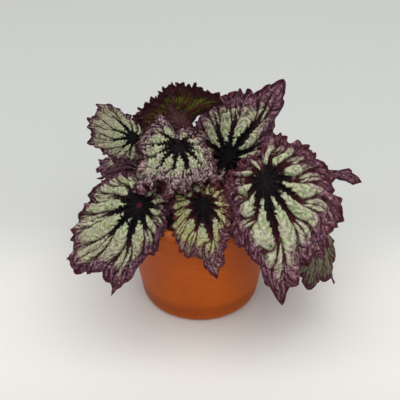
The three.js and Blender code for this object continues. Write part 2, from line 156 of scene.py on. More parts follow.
deselect_all()
bpy.ops.mesh.primitive_cylinder_add(
    vertices=POT_SIDES, radius=POT_BASE_RADIUS, depth=POT_HEIGHT, location=(0, 0, POT_HEIGHT / 2)
)
pot = bpy.context.object
pot.name = "flower_pot"
bpy.ops.object.transform_apply(location=True)
bpy.ops.object.mode_set(mode="EDIT")

# the wall flares to the rim, and the lip stands out from it
pick(pot, faces=lambda middle, normal: normal.z > 0.9)
flare = POT_RIM_RADIUS / POT_BASE_RADIUS
bpy.ops.transform.resize(value=(flare, flare, 1))
bpy.ops.mesh.select_all(action="SELECT")
lip_foot = POT_HEIGHT - LIP_HEIGHT
bpy.ops.mesh.bisect(plane_co=(0, 0, lip_foot), plane_no=(0, 0, 1))
pick(pot, faces=lambda middle, normal: middle.z > lip_foot and abs(normal.z) < 0.9)
bpy.ops.mesh.extrude_region_shrink_fatten(TRANSFORM_OT_shrink_fatten={"value": LIP_OVERHANG})

# the inside goes down to the floor, and narrows with the outside
pick(pot, faces=lambda middle, normal: normal.z > 0.9 and middle.z > POT_HEIGHT - 1e-4)
bpy.ops.mesh.dissolve_faces()
bpy.ops.mesh.inset(thickness=POT_WALL + LIP_OVERHANG)
narrowing = (POT_BASE_RADIUS - POT_WALL) / (POT_RIM_RADIUS - POT_WALL)
bpy.ops.mesh.extrude_region_move(
    TRANSFORM_OT_translate={"value": (0, 0, POT_WALL - POT_HEIGHT)}
)
bpy.ops.transform.resize(value=(narrowing, narrowing, 1))

# the foot, the lip and the floor's corner are rounded
pick(pot, edges=at_height(0))
bpy.ops.mesh.bevel(offset=POT_FOOT_ROUND, segments=7)
at_floor = at_height(POT_WALL)
pick(pot, edges=lambda start, end: at_floor(start, end) and from_axis(start) > DRAIN_CIRCLE)
bpy.ops.mesh.bevel(offset=POT_FLOOR_ROUND, segments=4)
pick(pot, edges=lambda start, end: start.z > lip_foot - 1e-4 and at_height(start.z)(start, end))
bpy.ops.mesh.bevel(offset=POT_LIP_ROUND, segments=3)
bpy.ops.object.mode_set(mode="OBJECT")

# the drain holes are cut with six short rods
drills = []
for hole in range(DRAIN_HOLES):
    turn = (hole + 0.5) / DRAIN_HOLES * 2 * math.pi
    bpy.ops.mesh.primitive_cylinder_add(
        vertices=24,
        radius=DRAIN_RADIUS,
        depth=4 * POT_WALL,
        location=(DRAIN_CIRCLE * math.cos(turn), DRAIN_CIRCLE * math.sin(turn), 0),
    )
    drills.append(bpy.context.object)
drill = joined(drills)
cut = pot.modifiers.new("drain_holes", "BOOLEAN")
cut.object = drill
cut.solver = "EXACT"
apply(cut)
bpy.data.objects.remove(drill)
bpy.ops.object.shade_smooth_by_angle(angle=math.radians(35))


def colour(red, green, blue):
    """A colour as it looks on screen, 0 to 255, as the linear colour that a shader takes."""
    linear = []
    for channel in (red, green, blue):
        value = channel / 255
        linear.append(value / 12.92 if value < 0.04045 else ((value + 0.055) / 1.055) ** 2.4)
    return (*linear, 1)


def new_material(name):
    """A material with an empty tree but for its shader, and that tree and shader."""
    material = bpy.data.materials.new(name)
    material.use_nodes = True
    tree = material.node_tree
    return material, tree, tree.nodes["Principled BSDF"]


def put(tree, socket, value):
    """Sets a socket to a plain value, or links another node's output to it."""
    if isinstance(value, bpy.types.NodeSocket):
        tree.links.new(value, socket)
    else:
        socket.default_value = value


def paint(tree, shader, base, roughness, specular=0.5):
    """Gives a shader its colour, its roughness and its reflection."""
    put(tree, shader.inputs["Base Color"], base)
    put(tree, shader.inputs["Roughness"], roughness)
    shader.inputs["Specular IOR Level"].default_value = specular


def coat(piece, *materials):
    """Gives a piece its materials, in place of any that it has."""
    piece.data.materials.clear()
    for material in materials:
        piece.data.materials.append(material)


def node_with(tree, kind, *settings):
    """A new node whose first sockets take the settings."""
    node = tree.nodes.new(kind)
    for socket, setting in zip(node.inputs, settings):
        put(tree, socket, setting)
    return node


def calculate(tree, operation, *values):
    node = node_with(tree, "ShaderNodeMath", *values)
    node.operation = operation
    return node.outputs[0]


def scaled(tree, value, factor, plus):
    """The value times the factor, and a third number added."""
    return calculate(tree, "MULTIPLY_ADD", value, factor, plus)


def gap(tree, first, second):
    """How far apart two values are."""
    return calculate(tree, "ABSOLUTE", calculate(tree, "SUBTRACT", first, second))


def ramp(tree, value, low, high, start=0.0, end=1.0):
    """Goes smoothly from start to end while the value goes from low to high."""
    node = node_with(tree, "ShaderNodeMapRange", value, low, high, start, end)
    node.interpolation_type = "SMOOTHSTEP"
    return node.outputs["Result"]


def mixed(tree, share, first, second):
    node = node_with(tree, "ShaderNodeMix", share)
    node.data_type = "RGBA"
    put(tree, node.inputs[6], first)
    put(tree, node.inputs[7], second)
    return node.outputs[2]


def blend(tree, first, second, value, low, high, most=1.0):
    """Goes from the first colour towards the second while the value goes from low to high."""
    return mixed(tree, ramp(tree, value, low, high, 0, most), first, second)


def object_place(tree):
    return tree.nodes.new("ShaderNodeTexCoord").outputs["Object"]


def axes_of(tree, place):
    """The X, Y and Z of a place, each an output by that name."""
    return node_with(tree, "ShaderNodeSeparateXYZ", place).outputs


def noise(tree, place, scale, detail=2.0, roughness=0.5):
    node = node_with(tree, "ShaderNodeTexNoise", place)
    node.inputs["Scale"].default_value = scale
    node.inputs["Detail"].default_value = detail
    node.inputs["Roughness"].default_value = roughness
    return node.outputs["Fac"]


def add_bump(tree, shader, height, distance, strength=1.0):
    node = tree.nodes.new("ShaderNodeBump")
    put(tree, node.inputs["Height"], height)
    node.inputs["Distance"].default_value = distance
    node.inputs["Strength"].default_value = strength
    tree.links.new(node.outputs["Normal"], shader.inputs["Normal"])


def stretched(tree, place, scale):
    node = node_with(tree, "ShaderNodeMapping", place)
    node.inputs["Scale"].default_value = scale
    return node.outputs["Vector"]


plastic, tree, shader = new_material("terracotta_plastic")
place = object_place(tree)
height = axes_of(tree, place)["Z"]
mottle = noise(tree, place, 26, detail=3)
flow = noise(tree, stretched(tree, place, (6, 6, 60)), 3, detail=2)
grain = noise(tree, place, 900, detail=2)
body = blend(tree, colour(164, 71, 7), colour(176, 81, 10), mottle, 0.35, 0.65)
streaked = blend(tree, body, colour(146, 60, 14), flow, 0.45, 0.75, 0.35)
from_band = gap(tree, height, DARK_BAND_HEIGHT)
banded = blend(tree, streaked, colour(122, 48, 8), from_band, 0.012, 0.001, 0.5)
# the colour turns paler over the top of the lip
pale_lip = blend(tree, banded, colour(205, 120, 70), height, 0.103, 0.109, 0.35)
satin = ramp(tree, mottle, 0.3, 0.7, 0.38, 0.5)
paint(tree, shader, pale_lip, satin, specular=0.12)
add_bump(tree, shader, scaled(tree, flow, 1.5, grain), 0.00012, 0.6)
coat(pot, plastic)

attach(pot, "root")
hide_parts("pot")


# The potting mix fills the pot to a finger's width below the rim: dark peat, crumbled, with a
# lumpy top. The finer surface is worked over the solid that has the stalks' holes in it.
def edit_all():
    """Starts edit mode on the chosen piece, with all of it selected."""
    bpy.ops.object.mode_set(mode="EDIT")
    bpy.ops.mesh.select_all(action="SELECT")


def worked_copy(node, name, grain_size):
    """A copy of a solid with its loose corners joined, and its surface made of even small faces."""
    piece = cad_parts[node].copy()
    piece.data = piece.data.copy()
    piece.name = name
    bpy.context.collection.objects.link(piece)
    choose(piece)
    edit_all()
    bpy.ops.mesh.remove_doubles(threshold=1e-6)
    bpy.ops.object.mode_set(mode="OBJECT")
    even = piece.modifiers.new("even_faces", "REMESH")
    even.mode = "VOXEL"
    even.voxel_size = grain_size
    apply(even)
    return piece


def roughen(piece, name, size, strength, group=None):
    """Pushes a piece's surface in and out by a cloud pattern of the given size."""
    pattern = bpy.data.textures.new(name, "CLOUDS")
    pattern.noise_scale = size
    push = piece.modifiers.new(name, "DISPLACE")
    push.texture = pattern
    push.texture_coords = "LOCAL"
    push.strength = strength
    push.mid_level = 0.5
    if group:
        push.vertex_group = group
    apply(push)


MIX_TOP = 0.096
MIX_EDGE = 0.0655
LOOSE_DEPTH = 0.0045

mix = worked_copy("potting_mix", "peat_mix", grain_size=0.0017)
loose = [
    vertex.index
    for vertex in mix.data.vertices
    if vertex.co.z > MIX_TOP - LOOSE_DEPTH and from_axis(vertex.co) < MIX_EDGE
]
mix.vertex_groups.new(name="top").add(loose, 1.0, "REPLACE")
roughen(mix, "clods", size=0.011, strength=0.0038, group="top")
roughen(mix, "crumbs", size=0.0035, strength=0.0022, group="top")
bpy.ops.object.shade_smooth()

peat, tree, shader = new_material("damp_peat")
place = object_place(tree)
clumps = noise(tree, place, 140, detail=6, roughness=0.65)
fibres = noise(tree, stretched(tree, place, (1, 3, 1)), 420, detail=4)
dark = blend(tree, colour(30, 20, 14), colour(72, 50, 34), clumps, 0.35, 0.7)
flecked = blend(tree, dark, colour(112, 82, 54), fibres, 0.62, 0.72, 0.7)
paint(tree, shader, flecked, 0.95)
add_bump(tree, shader, scaled(tree, fibres, 0.5, clumps), 0.0012)
coat(mix, peat)

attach(mix, "root")
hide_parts("potting_mix")


# Bark chips and white grains of perlite lie pressed into the top of the mix. One chip and one
# grain are shaped, and copied at seeded places clear of the stalks and the rootstock.
SOWING = 41
CHIPS = 130
CHIP_SIZES = (0.003, 0.0075)
GRAINS = 90
GRAIN_SIZES = (0.0014, 0.0036)
PRESSED_IN = 0.0002
STALK_FOOT_HEIGHT = 0.012
CLEAR_OF_WALL = 0.006
CLEAR_OF_STALK = 0.009
CLEAR_OF_ROOTSTOCK = 0.006

feet = []
for name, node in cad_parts.items():
    if name.startswith("stalk_"):
        corners = np.array([vertex.co for vertex in node.data.vertices])
        low = corners[corners[:, 2] < corners[:, 2].min() + STALK_FOOT_HEIGHT]
        feet.append(low.mean(0)[:2])
root_points = np.array([vertex.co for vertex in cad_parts["rootstock"].data.vertices])[:, :2]
feet = np.array(feet)


def strewn(model, name, count, sizes, random):
    """Copies of a small model, pressed flat into the top of the mix, as one piece."""
    copies = []
    while len(copies) < count:
        spot = random.uniform(-MIX_EDGE, MIX_EDGE, 2)
        if np.hypot(*spot) > MIX_EDGE - CLEAR_OF_WALL:
            continue
        if np.hypot(*(feet - spot).T).min() < CLEAR_OF_STALK:
            continue
        if np.hypot(*(root_points - spot).T).min() < CLEAR_OF_ROOTSTOCK:
            continue
        copy = model.copy()
        copy.data = model.data.copy()
        size = random.uniform(*sizes)
        copy.scale = (size, size * random.uniform(0.6, 1), size * random.uniform(0.5, 0.9))
        copy.rotation_euler = (*random.uniform(-0.5, 0.5, 2), random.uniform(0, 2 * math.pi))
        copy.location = (*spot, MIX_TOP - PRESSED_IN + size * 0.15)
        bpy.context.collection.objects.link(copy)
        copies.append(copy)
    piece = joined(copies)
    piece.name = name
    bpy.ops.object.transform_apply(location=True, rotation=True, scale=True)
    bpy.data.objects.remove(model)
    return piece


random = np.random.default_rng(SOWING)
bpy.ops.mesh.primitive_cube_add(size=1)
chip = bpy.context.object
edit_all()
bpy.ops.mesh.subdivide(number_cuts=1, smoothness=0.4)
bpy.ops.object.mode_set(mode="OBJECT")
for vertex in chip.data.vertices:
    vertex.co *= 0.8 + 0.4 * random.random()
    vertex.co.z *= 0.45
chips = strewn(chip, "bark_chips", CHIPS, CHIP_SIZES, random)

bark, tree, shader = new_material("bark")
layers = noise(tree, stretched(tree, object_place(tree), (1, 1, 5)), 260, detail=4)
paint(tree, shader, mixed(tree, layers, colour(58, 36, 24), colour(132, 92, 62)), 0.9)
add_bump(tree, shader, layers, 0.0006)
coat(chips, bark)

bpy.ops.mesh.primitive_ico_sphere_add(subdivisions=2, radius=0.5)
grain_model = bpy.context.object
for vertex in grain_model.data.vertices:
    vertex.co *= 0.75 + 0.45 * random.random()
grains = strewn(grain_model, "perlite_grains", GRAINS, GRAIN_SIZES, random)

perlite, tree, shader = new_material("perlite")
bubbles = node_with(tree, "ShaderNodeTexVoronoi", object_place(tree))
bubbles.inputs["Scale"].default_value = 1600
pores = bubbles.outputs["Distance"]
white = blend(tree, colour(196, 190, 178), colour(238, 236, 230), pores, 0.1, 0.6)
paint(tree, shader, white, 0.85)
add_bump(tree, shader, pores, 0.0003)
coat(grains, perlite)

for piece in (chips, grains):
    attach(piece, "root")


# The rootstock is the plant's creeping stem, as thick as a finger, half sunk in the mix. It is
# corky and brown, ringed by the scars of old leaves, and the stalks rise out of it.
rootstock = worked_copy("rootstock", "corky_rootstock", grain_size=0.0009)
roughen(rootstock, "scars", size=0.006, strength=0.0012)
roughen(rootstock, "cork", size=0.002, strength=0.0006)
bpy.ops.object.shade_smooth()

cork, tree, shader = new_material("cork")
place = object_place(tree)
rings = noise(tree, stretched(tree, place, (5, 1, 1)), 190, detail=4)
patches = noise(tree, place, 60, detail=3)
brown = mixed(tree, rings, colour(66, 42, 28), colour(124, 84, 58))
mossy = blend(tree, brown, colour(112, 104, 62), patches, 0.5, 0.7, 0.6)
paint(tree, shader, mossy, 0.85)
add_bump(tree, shader, rings, 0.0008)
coat(rootstock, cork)

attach(rootstock, "root")
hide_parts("rootstock")


# The leaves. Each blade is a lopsided heart, wider on one half, that ten sunken veins cross from
# the stalk to a toothed, crisped edge. Between them it puffs up in silver panels, and it droops
# at its tip, its base and both sides.

# Each vein has its angle from the line to the tip, in degrees, and its reach, as a share of the
# leaf's length. The first and last of them are the two sides of the notch.
VEIN_ANGLES = np.array([-180, -145, -100, -62, -30, 0, 28, 56, 88, 122, 155, 180.0])
VEIN_REACHES = np.array([0.16, 0.3, 0.36, 0.46, 0.68, 0.92, 0.82, 0.76, 0.58, 0.51, 0.48, 0.16])
LAST = len(VEIN_ANGLES) - 1
MIDDLE_VEIN = 5
TIP_POINT = 0.11
TIP_WIDTH = 7
BAY_DEPTH = 0.07
TOOTH_DEPTH = 0.02
FINE_TOOTH_DEPTH = 0.036
FINE_TEETH = 4.3
VEIN_RELIEF = 2.2
HOOK_STARTS = 0.7
PLEATED_LENGTH = 80
RUFFLE = 3
BROAD_WAVE = 1.3
OTHER_BAYS = 0.4
FINE_WAVE = 1.4
HALF_ANGLES = (0, 28, 60, 140)
LOBE_ANGLES = (85, 135)
SHOULDER_ANGLE = 34
SHOULDER_WIDTH = 15
SIDE_SPAN = 0.7

# A row holds what the solids have for that leaf: facing, the heading, pitch and roll of the line to
# its tip; droop, how far its tip, base, wide half and narrow half bend down, in degrees; and reach,
# lift and climb, the course of its stalk. The finish adds blush, where the mauve begins at the tip
# and on the wide and the narrow half, as a share of the way to the edge; crisp, how strongly the
# edge is frilled; frills, how many there are from vein to vein; folds, how deep the veins and
# panels are; below, how far under the blade its stalk ends; and grid, how many rows of faces there
# are from the stalk to the edge, and how many columns from vein to vein.
LEAVES = [
    dict(
        name="front_left", at=(-49, -54, 131), facing=(-113, -42, -12), length=75,
        wide_half=1, broad=1.04, slim=0.84, shoulder=1.24, droop=(18, 70, 15, 22),
        lift=-8, blush=(0.72, 0.82, 0.72), crisp=0.9, folds=1.3, grid=(70, 26),
    ),
    dict(
        name="front_middle", at=(3.5, -60, 136), facing=(-77, -46, 18), length=59,
        wide_half=1, broad=0.8, slim=0.85, shoulder=1.2, droop=(10, 60, 24, 30),
        blush=(0.74, 0.84, 0.84), crisp=1.6, grid=(64, 26),
    ),
    dict(
        name="front_right", at=(53, -46, 149.5), facing=(-79, -46, 12), length=99,
        wide_half=-1, broad=0.94, slim=0.86, lobes=0.9, droop=(12, 25, 15, 6), hook=20,
        blush=(0.74, 0.72, 0.66), crisp=0.8, folds=1.4, grid=(74, 26),
    ),
    dict(
        name="crown", at=(-17, -22, 166), facing=(-76, -8, 3), length=46,
        wide_half=1, broad=1.5, slim=1.4, lobes=1.7, shoulder=0.8, droop=(20, -45, 30, 30),
        hook=40, blush=(0.7, 0.68, 0.62), crisp=2.6, frills=1.9, folds=2.6, grid=(76, 38),
    ),
    dict(
        name="upper_left", at=(-57, 1, 162), facing=(152, 44, -14), length=43,
        wide_half=-1, broad=1.2, slim=0.8, droop=(20, 20, 15, 20), ruffle=2, reach=0.45,
        blush=(0.8, 0.84, 0.84), crisp=1.3, folds=1.5, grid=(50, 24),
    ),
    dict(
        name="upper_back", at=(-22, 34, 161), facing=(8, 40, -85), length=68,
        wide_half=1, broad=0.86, slim=0.4, lobes=1.25, droop=(60, 10, 20, 10), hook=50,
        ruffle=2, blush=(0.6, 0.7, 0.7), crisp=2, frills=2, grid=(56, 24),
    ),
    dict(
        name="upper_right", at=(25, 14, 134), facing=(30, 48, 38), length=84,
        wide_half=-1, broad=0.9, slim=0.8, droop=(5, 10, 15, 15), reach=0.44,
        below=2.6, blush=(0.62, 0.68, 0.66), crisp=1.2, folds=1.3, grid=(70, 26),
    ),
    dict(
        name="right_side", at=(92, 25, 113.5), facing=(-6, -3, -12), length=54,
        wide_half=1, broad=0.65, slim=0.65, droop=(0, 5, 40, 40), hook=15, reach=0.4,
        lift=18, below=4.4, blush=(0.3, 0.4, 0.4), crisp=1.4,
    ),
    dict(
        name="right_low", at=(87, -28, 116), facing=(-28, -58, 0), length=82,
        wide_half=1, broad=1.1, slim=0.9, droop=(10, 60, 20, 20), reach=0.24,
        lift=12, climb=0.3, below=2.2, blush=(0.95, 0.95, 0.95), crisp=1,
    ),
    # left_side's mauve begins close to its stalk, so it is dark all over: its own deep colour,
    # deepened as painted shade under the leaves above
    dict(
        name="left_side", at=(-52, 12, 123), facing=(178, -4, -20), length=40,
        wide_half=1, droop=(20, 30, 20, 20),
        blush=(0.25, 0.3, 0.3), crisp=1.8,
    ),
    dict(
        name="back_left", at=(-51, 62, 114), facing=(130, -14, 0), length=70,
        wide_half=-1, droop=(35, 0, 25, 25), reach=0.2, lift=5,
        below=3.2, blush=(0.74, 0.8, 0.76), crisp=1,
    ),
    dict(
        name="back_middle", at=(-7, 64, 127), facing=(85, -16, 0), length=70,
        wide_half=-1, droop=(35, 40, 25, 25),
        blush=(0.72, 0.76, 0.72), crisp=1.1,
    ),
    dict(
        name="back_right", at=(54, 52, 120), facing=(42, -16, 0), length=72,
        wide_half=-1, slim=0.9, droop=(35, 20, 25, 25),
        blush=(0.7, 0.74, 0.78), crisp=1,
    ),
    dict(
        name="young", at=(-13, 8, 168), facing=(150, 50, 150), length=24,
        wide_half=1, droop=(0, 0, -40, -40), ruffle=1,
        blush=(0.5, 0.5, 0.5), crisp=1.2,
    ),
]


def smooth(value, low, high):
    """0 below low, 1 above high, and a smooth rise between them."""
    share = np.clip((value - low) / (high - low), 0, 1)
    return share * share * (3 - 2 * share)


def edge_angle(place):
    """A place on the edge, 0 to 11 and whole at a vein, as degrees from the tip."""
    return np.interp(place, np.arange(LAST + 1), VEIN_ANGLES)


def edge_reach(place):
    """How far the edge is from the stalk there, as a share of the leaf's length."""
    i = np.minimum(place.astype(int), LAST - 1)
    along = place - i
    start, end = VEIN_REACHES[i], VEIN_REACHES[i + 1]
    reach = start + (end - start) * along * along * (3 - 2 * along)
    reach = np.where(i == 0, end + (start - end) * (1 - along) ** 4, reach)
    reach = np.where(i == LAST - 1, start + (end - start) * along**4, reach)
    bay = 1 - BAY_DEPTH * np.sin(np.pi * along) ** 2
    point = 1 + TIP_POINT * np.exp(-np.abs(edge_angle(place)) / TIP_WIDTH)
    return reach * bay * point


def bent(distance, span, droop, hook=0):
    """How far a point goes along a bending stretch, and how far it drops."""
    steps = 24
    target = np.abs(distance) / span
    along = np.zeros_like(target)
    drop = np.zeros_like(target)
    for i in range(steps):
        share = (i + 0.5) / steps * target
        hooked = np.maximum(0, (share - HOOK_STARTS) / (1 - HOOK_STARTS))
        turn = np.radians(droop * share + hook * hooked)
        along += np.cos(turn) * target / steps
        drop += np.sin(turn) * target / steps
    return np.sign(distance) * along * span, drop * span


WAVES = 7
WAVES_TOGETHER = 2.4


def unevenness(seed, place, share, fineness):
    """A smooth random pattern over the blade, mostly between -1 and 1."""
    random = np.random.default_rng(seed)
    total = np.zeros_like(place)
    for _ in range(WAVES):
        across, along = random.uniform(-1, 1, 2) * fineness
        total += np.sin(across * place + along * LAST * share + random.uniform(0, 2 * np.pi))
    return total / WAVES_TOGETHER


def flat_blade(leaf, seed, share, place):
    """The blade's points before it is bent, in millimetres, with its small teeth."""
    degrees = edge_angle(place)
    off = np.abs(degrees)
    starts, full, fades, ends = HALF_ANGLES
    half = smooth(off, starts, full) * (1 - smooth(off, fades, ends))
    breadth = 1 + (np.where(degrees > 0, leaf.get("broad", 1), leaf.get("slim", 1)) - 1) * half
    breadth *= 1 + (leaf.get("lobes", 1) - 1) * smooth(off, *LOBE_ANGLES)
    beside = ((degrees - SHOULDER_ANGLE) / SHOULDER_WIDTH) ** 2
    breadth *= 1 + (leaf.get("shoulder", 1) - 1) * np.exp(-beside)
    tooth = 1 + TOOTH_DEPTH * np.cos(6 * np.pi * place) * share**8
    shift = 0.6 * unevenness(seed + 5, place, share * 0, 3)
    jag = np.abs(np.sin(np.pi * (FINE_TEETH * place + shift))) ** 0.8 - 0.6
    uneven = 1 + 0.5 * unevenness(seed + 6, place, share * 0, 6)
    tooth_size = FINE_TOOTH_DEPTH * max(1, leaf["crisp"] ** 0.7)
    off_notch = smooth(place, 0, 1) * smooth(LAST - place, 0, 1)
    fine_tooth = 1 + tooth_size * jag * uneven * share**12 * off_notch
    radius = share * edge_reach(place) * breadth * leaf["length"] * tooth * fine_tooth
    angle = np.radians(degrees)
    return radius, radius * np.sin(angle), radius * np.cos(angle)


def calm_near_notch(place):
    return np.minimum(1, np.minimum(place, LAST - place))


def bent_blade(leaf, share, place, radius, x, y):
    """The same points as the solid's blade has them: pleated, waved and bent."""
    size = radius / leaf["length"]
    calm = calm_near_notch(place)
    panel = calm * np.abs(np.sin(np.pi * place))
    depth = VEIN_RELIEF * min(1, leaf["length"] / PLEATED_LENGTH)
    pleat = depth * panel * 4 * share * (1 - share)
    broad_wave = BROAD_WAVE * np.sin(np.pi * place) * np.where(place % 2 < 1, 1, OTHER_BAYS)
    fine_wave = FINE_WAVE * np.sin(3 * np.pi * place + leaf["facing"][0])
    ruffle = leaf.get("ruffle", RUFFLE)
    wave = calm * ruffle * size * (share**2 * broad_wave + share**4 * fine_wave)
    side = leaf["length"] * SIDE_SPAN
    tip, base, wide, narrow = leaf["droop"]
    tip_along, tip_drop = bent(np.maximum(y, 0), leaf["length"], tip, leaf.get("hook", 0))
    base_along, base_drop = bent(np.minimum(y, 0), side, base)
    wide_along, wide_drop = bent(np.maximum(x, 0), side, wide)
    narrow_along, narrow_drop = bent(np.minimum(x, 0), side, narrow)
    return np.stack(
        [
            leaf["wide_half"] * (wide_along + narrow_along),
            tip_along + base_along,
            pleat + wave - tip_drop - base_drop - wide_drop - narrow_drop,
        ],
        -1,
    )


# The veins fork three times on their way to the edge. A vein's line is at a whole place; its two
# forks move away from it between start and end, and have their full depth from full on. Widths
# are shares of the leaf's length: one step of place is about 32 degrees, so it is VEIN_SPREAD
# times as wide as the distance from the stalk. Side veins leave them at a slant, one every
# SIDE_STEP. Depths and heights are in millimetres.
FORKS = (
    dict(start=0.3, end=0.76, spread=0.25, depth=0.9, width=0.014, full=0.44),
    dict(start=0.55, end=0.96, spread=0.125, depth=0.45, width=0.011, full=0.66),
    dict(start=0.76, end=1.06, spread=0.0625, depth=0.3, width=0.008, full=0.84),
)
VEIN_SPREAD = 0.56
VEIN_DEPTH = 2.0
VEIN_WIDTH = 0.03
VEIN_ARCH = 0.07
VEIN_WANDER = 0.15
SHARE_WANDER = 0.05
SIDE_STEP = 0.085
SIDE_SLANT = 1.1
SIDE_WANDER = 0.35
PANEL_HEIGHT = 1.3
LUMP_HEIGHT = 0.6
FRILLS = 1.5
FRILL_HEIGHT = 1.5
CRINKLE_HEIGHT = 0.8
CRINKLES_A_FRILL = 2.6
LUMPY_SHARES = (0.2, 0.7)
FRILLED_SHARES = (0.72, 1)
CRINKLED_SHARES = (0.84, 1)
FLAT_HEART_SHARES = (0.04, 0.3)
FLAT_HEART_WIDTHS = (0.02, 0.16)
FULL_RELIEF_LENGTH = 70
MOST_RELIEF = 1.2


def vein_distances(place, share, radius):
    """How far a point is from the nearest vein, and from the lines of each fork."""
    distance = np.abs(place - np.round(place))
    distances = [distance * VEIN_SPREAD * radius]
    for fork in FORKS:
        distance = np.abs(distance - fork["spread"] * smooth(share, fork["start"], fork["end"]))
        distances.append(distance * VEIN_SPREAD * radius)
    return distances


def groove(distance, width):
    """1 in the middle of a groove, falling off softly to both sides."""
    return np.exp(-((distance / width) ** 2))


def relief(leaf, seed, place, share, radius, vein_place, vein_share):
    """How far the surface is raised at each point, in millimetres: sunk veins, puffed panels
    crossed by side veins, and the frill of the edge."""
    radius = radius / leaf["length"]
    distances = vein_distances(vein_place, vein_share, radius)
    sunk = VEIN_DEPTH * groove(distances[0], VEIN_WIDTH) * (1 - 0.6 * share)
    for fork, distance in zip(FORKS, distances[1:]):
        begun = smooth(share, fork["start"], fork["full"])
        sunk += fork["depth"] * groove(distance, fork["width"]) * begun
    first = distances[1]
    side = (radius - SIDE_SLANT * first) / SIDE_STEP
    side += SIDE_WANDER * unevenness(seed + 1, place, share, 7)
    puffed = PANEL_HEIGHT * np.abs(np.sin(np.pi * side)) ** 0.7 * smooth(first, 0.006, 0.035)
    lumps = LUMP_HEIGHT * unevenness(seed + 2, place, share, 5) * smooth(share, *LUMPY_SHARES)
    wandering = 0.5 * unevenness(seed + 3, place, share * 0.3, 1.5)
    turns = 2 * np.pi * (leaf.get("frills", FRILLS) * place + wandering)
    deep = 0.6 + 0.4 * unevenness(seed + 4, place, share * 0, 1.1)
    frill = FRILL_HEIGHT * leaf["crisp"] * deep * smooth(share, *FRILLED_SHARES)
    frill *= np.sin(turns)
    crinkle = CRINKLE_HEIGHT * leaf["crisp"] * smooth(share, *CRINKLED_SHARES)
    crinkle *= np.sin(CRINKLES_A_FRILL * turns + 1)
    grows = min(MOST_RELIEF, leaf["length"] / FULL_RELIEF_LENGTH)
    raised = (puffed + lumps - sunk) * grows * leaf.get("folds", 1) + frill + crinkle
    off_heart = smooth(share, *FLAT_HEART_SHARES) * smooth(radius, *FLAT_HEART_WIDTHS)
    return raised * calm_near_notch(place) * off_heart


def leaf_axes(leaf):
    """The directions across the blade, towards its tip and out of its upper face."""
    heading, pitch, roll = np.radians(leaf["facing"])
    ahead = np.array([np.cos(heading), np.sin(heading), 0])
    upright = np.array([0, 0, 1])
    to_tip = ahead * np.cos(pitch) + upright * np.sin(pitch)
    level = upright * np.cos(pitch) - ahead * np.sin(pitch)
    up = level * np.cos(roll) + np.cross(to_tip, level) * np.sin(roll)
    return np.cross(to_tip, up), to_tip, up


def on_plant(leaf, points):
    """Points in a leaf's frame, in millimetres, as points of the plant, in metres."""
    across, to_tip, up = leaf_axes(leaf)
    placed = points[..., :1] * across + points[..., 1:2] * to_tip + points[..., 2:] * up
    return (placed + np.array(leaf["at"])) / 1000


def surface_normals(points):
    """Unit normals of a grid of points, rows from the stalk outwards and columns round the edge."""
    outward = np.gradient(points, axis=0)
    around = np.gradient(points, axis=1)
    normals = np.cross(around, outward)
    return normals / np.maximum(np.linalg.norm(normals, axis=-1, keepdims=True), 1e-9)


BLADE_THICKNESS = 0.0007
BLUSH_ANGLES = (10, 60)
ROWS_CROWD = 0.35
PLAIN_GRID = (40, 16)


def make_blade(leaf, seed):
    """A blade from a grid: its rows go from the stalk to the edge, and its columns round it."""
    rows, columns = leaf.get("grid", PLAIN_GRID)
    columns *= LAST
    bpy.ops.mesh.primitive_grid_add(x_subdivisions=columns, y_subdivisions=rows, size=1)
    blade = bpy.context.object
    blade.name = f"leaf_{leaf['name']}"
    mesh = blade.data
    corners = np.zeros(len(mesh.vertices) * 3, np.float32)
    mesh.vertices.foreach_get("co", corners)
    corners = corners.reshape(rows + 1, columns + 1, 3)
    place = np.clip((corners[..., 0] + 0.5) * LAST, 0, LAST).astype(float)
    along = np.clip(corners[..., 1] + 0.5, 0, 1).astype(float)
    share = (1 + ROWS_CROWD) * along - ROWS_CROWD * along**2

    calm = calm_near_notch(place)
    wander = VEIN_WANDER * smooth(share, 0.1, 0.6) * unevenness(seed + 7, place, share, 1)
    arch = VEIN_ARCH * (place - LAST / 2) * share**2
    vein_place = place + calm * (wander + arch)
    vein_share = share * (1 + SHARE_WANDER * unevenness(seed + 8, place, share, 1.2))
    radius, x, y = flat_blade(leaf, seed, share, place)
    points = bent_blade(leaf, share, place, radius, x, y)
    normals = surface_normals(points) * leaf["wide_half"]
    raised = relief(leaf, seed, place, share, radius, vein_place, vein_share)
    points = points + normals * raised[..., None]
    mesh.vertices.foreach_set("co", on_plant(leaf, points).astype(np.float32).ravel())

    # where each point lies on the vein pattern, and where it lies on a flat leaf one unit long
    corner_vertex = np.zeros(len(mesh.loops), np.int32)
    mesh.loops.foreach_get("vertex_index", corner_vertex)
    veins = np.stack([vein_place / LAST, vein_share], -1).reshape(-1, 2)
    flat = np.stack([x, y], -1).reshape(-1, 2) / leaf["length"]
    for name, layer in (("veins", veins), ("flat", flat)):
        uv = mesh.uv_layers.new(name=name)
        uv.data.foreach_set("uv", layer[corner_vertex].astype(np.float32).ravel())
    mesh.uv_layers.remove(mesh.uv_layers[0])
    degrees = edge_angle(place)
    at_tip, on_wide, on_narrow = leaf["blush"]
    blush = at_tip + (on_wide - at_tip) * smooth(degrees, *BLUSH_ANGLES)
    blush += (on_narrow - at_tip) * smooth(-degrees, *BLUSH_ANGLES)
    for name, values in (("edge", share), ("blush", blush)):
        layer = mesh.attributes.new(name, "FLOAT", "POINT")
        layer.data.foreach_set("value", values.astype(np.float32).ravel())

    # the grid's first row closes on the stalk, and its two sides meet at the notch
    choose(blade)
    edit_all()
    bpy.ops.mesh.remove_doubles(threshold=2e-6)
    if leaf["wide_half"] < 0:
        bpy.ops.mesh.flip_normals()
    bpy.ops.object.mode_set(mode="OBJECT")
    return blade


def product(tree, first, second):
    return calculate(tree, "MULTIPLY", first, second)


def uv_place(tree, name):
    node = tree.nodes.new("ShaderNodeUVMap")
    node.uv_map = name
    return node.outputs[0]


